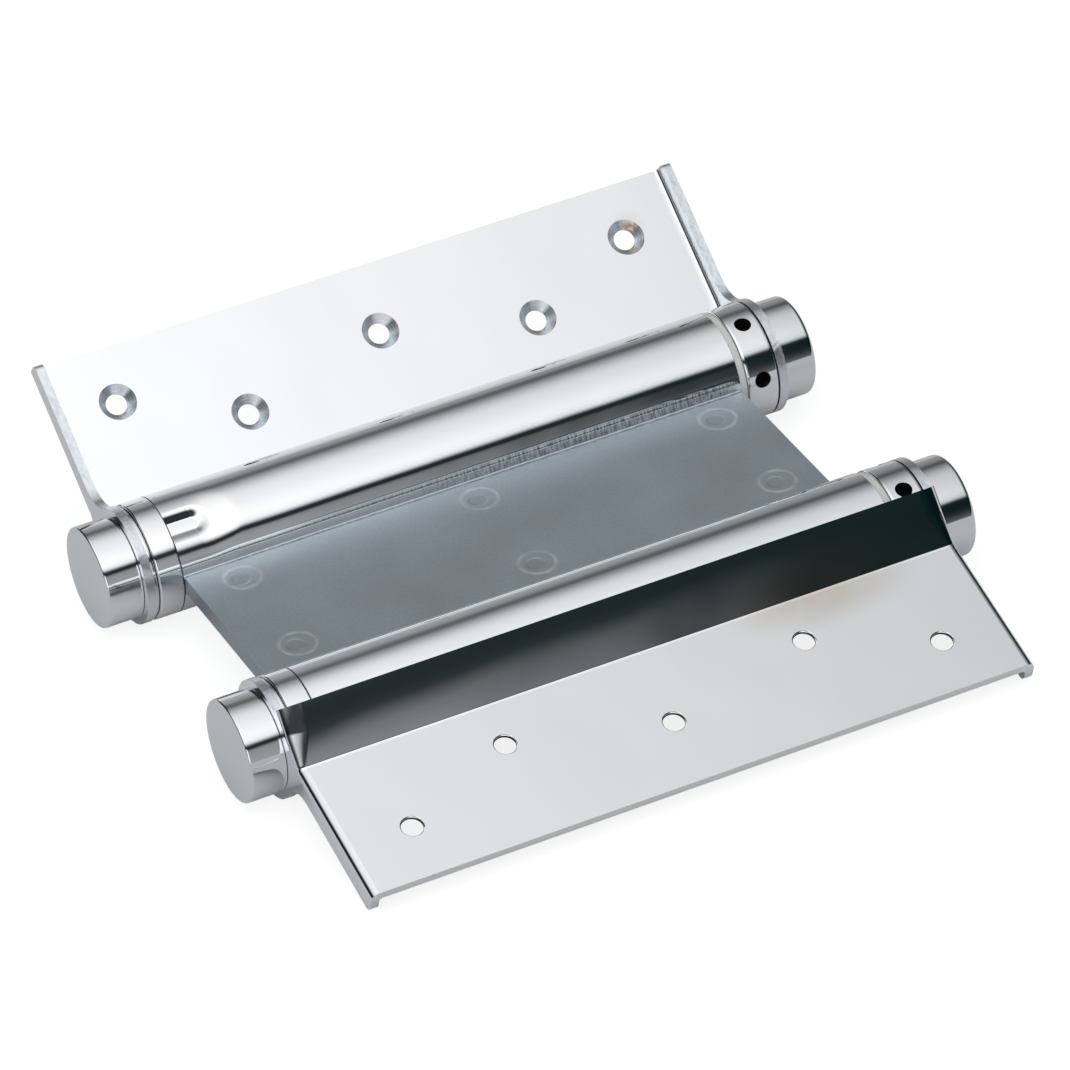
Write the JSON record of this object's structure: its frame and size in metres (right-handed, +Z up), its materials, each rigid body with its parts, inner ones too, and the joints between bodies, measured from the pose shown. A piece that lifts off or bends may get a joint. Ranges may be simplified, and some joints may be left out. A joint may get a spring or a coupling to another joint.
{
  "type": "double action spring hinge",
  "caption": "Double action spring hinge lying open: a flat web joins its parallel barrels, a pressed screw leaf cradles each barrel, with end knobs and drilled tension collars.",
  "frame": {"origin": "centre of the web: midway between the two barrel axes and on the plane where the web's two sheets touch", "axes": "+X along the barrels towards the tension collars, +Y across the web towards leaf A, +Z up, square to the web, on the side that leaf A folds to"},
  "size_m": [0.1684, 0.163, 0.0402],
  "materials": {
    "web_plate": "bright plated steel, the web between the barrels satin",
    "leaf_plate": "bright plated pressed steel",
    "collar": "bright plated turned steel",
    "knob": "bright plated turned steel",
    "washer": "bright plated steel",
    "spindle": "bright drawn steel",
    "spring": "oiled spring steel",
    "nylon": "natural nylon"
  },
  "bodies": {
    "web": {"web_barrel_a": "web_plate", "web_barrel_b": "web_plate", "spring_anchor_a": "collar", "spring_anchor_b": "collar", "nylon_washer_a": "nylon", "nylon_washer_b": "nylon", "torsion_spring_a": "spring", "torsion_spring_b": "spring"},
    "leaf_a": {"leaf_a": "leaf_plate", "spindle_a": "spindle", "left_knob_a": "knob", "right_knob_a": "knob", "thrust_washer_a": "washer"},
    "leaf_b": {"leaf_b": "leaf_plate", "spindle_b": "spindle", "left_knob_b": "knob", "right_knob_b": "knob", "thrust_washer_b": "washer"},
    "tension_collar_a": {"tension_collar_a": "collar"},
    "tension_collar_b": {"tension_collar_b": "collar"}
  },
  "joints": [
    {"name": "leaf_a_hinge", "type": "hinge", "parent": "web", "child": "leaf_a", "pos_m": [0, 0.0352, 0], "axis": [1, 0, 0], "range_deg": [-122.6, 142.4]},
    {"name": "leaf_b_hinge", "type": "hinge", "parent": "web", "child": "leaf_b", "pos_m": [0, -0.0352, 0], "axis": [1, 0, 0], "range_deg": [-102.8, 162.2]},
    {"name": "collar_a_turn", "type": "hinge", "parent": "web", "child": "tension_collar_a", "pos_m": [0.07025, 0.0352, 0], "axis": [1, 0, 0], "range_deg": [-180, 0], "stiffness_Nm_per_rad": 0.67, "deforming": ["torsion_spring_a"]},
    {"name": "collar_b_turn", "type": "hinge", "parent": "web", "child": "tension_collar_b", "pos_m": [0.07025, -0.0352, 0], "axis": [1, 0, 0], "range_deg": [-180, 0], "stiffness_Nm_per_rad": 0.67, "deforming": ["torsion_spring_b"]}
  ]
}
